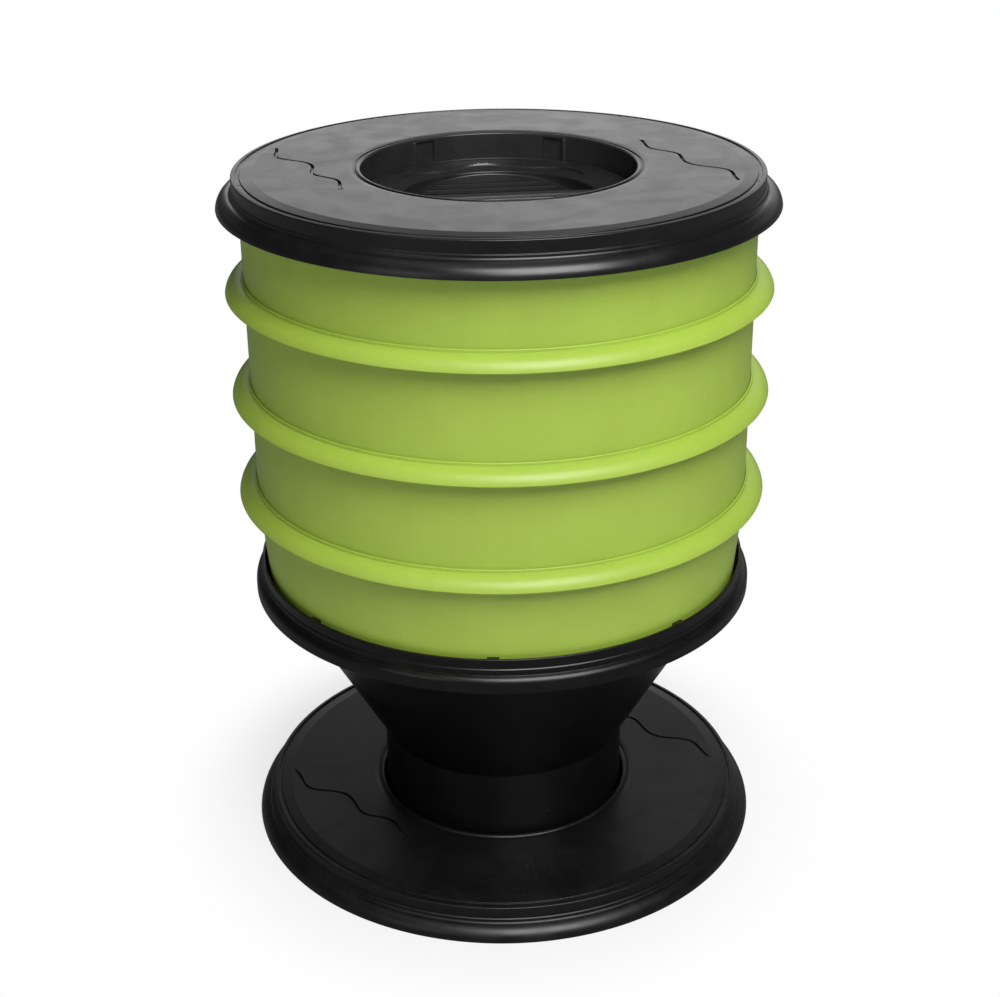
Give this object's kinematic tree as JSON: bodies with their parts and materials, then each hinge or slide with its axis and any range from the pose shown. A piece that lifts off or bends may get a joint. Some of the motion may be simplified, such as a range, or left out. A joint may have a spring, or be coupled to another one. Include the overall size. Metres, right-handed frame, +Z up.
{
  "type": "wormery",
  "caption": "Round stacking worm composter: perforated trays stand in each other on a funnel-shaped liquid collector with a tap, on a round base plate, under a capped lid.",
  "frame": {"origin": "centre of the base plate's underside, on the ground", "axes": "+Z up along the stack's axis, +Y towards the drain tap at the back, +X to the right seen from the front"},
  "size_m": [0.486, 0.486, 0.6374],
  "materials": {
    "tray_green": "satin lime green polypropylene",
    "base_black": "fine-grained black recycled plastic",
    "collector_black": "smooth black plastic, slightly speckled",
    "lid_black": "black plastic with a cloudy satin sheen",
    "cap_black": "black plastic with a satin sheen",
    "tap_black": "smooth black",
    "tap_lever_green": "satin lime green",
    "seal_rubber": "matt black",
    "screw_steel": "bright"
  },
  "bodies": {
    "base": {"base_plate": "base_black"},
    "collector": {"collector": "collector_black", "tap_body": "tap_black", "tap_nut": "tap_black", "tap_inner_washer": "seal_rubber", "tap_outer_washer": "seal_rubber"},
    "tray_1": {"tray_1": "tray_green"},
    "tray_2": {"tray_2": "tray_green"},
    "tray_3": {"tray_3": "tray_green"},
    "tray_4": {"tray_4": "tray_green"},
    "lid": {"lid": "lid_black"},
    "cap": {"lid_cap": "cap_black", "cap_seal": "seal_rubber"},
    "tap_lever": {"tap_plug": "tap_black", "tap_lever": "tap_lever_green", "lever_screw": "screw_steel"}
  },
  "joints": [
    {"name": "collector_lift", "type": "slide", "parent": "base", "child": "collector", "axis": [0, 0, 1], "range_m": [0, 0.06]},
    {"name": "tray_1_lift", "type": "slide", "parent": "collector", "child": "tray_1", "axis": [0, 0, 1], "range_m": [0, 0.12]},
    {"name": "tray_2_lift", "type": "slide", "parent": "tray_1", "child": "tray_2", "axis": [0, 0, 1], "range_m": [0, 0.12]},
    {"name": "tray_3_lift", "type": "slide", "parent": "tray_2", "child": "tray_3", "axis": [0, 0, 1], "range_m": [0, 0.12]},
    {"name": "tray_4_lift", "type": "slide", "parent": "tray_3", "child": "tray_4", "axis": [0, 0, 1], "range_m": [0, 0.12]},
    {"name": "lid_lift", "type": "slide", "parent": "tray_4", "child": "lid", "axis": [0, 0, 1], "range_m": [0, 0.1]},
    {"name": "cap_lift", "type": "slide", "parent": "lid", "child": "cap", "axis": [0, 0, 1], "range_m": [0, 0.07]},
    {"name": "tap_turn", "type": "hinge", "parent": "collector", "child": "tap_lever", "pos_m": [0, 0.17128, 0.11], "axis": [0, 0, 1], "range_deg": [0, 90]}
  ]
}
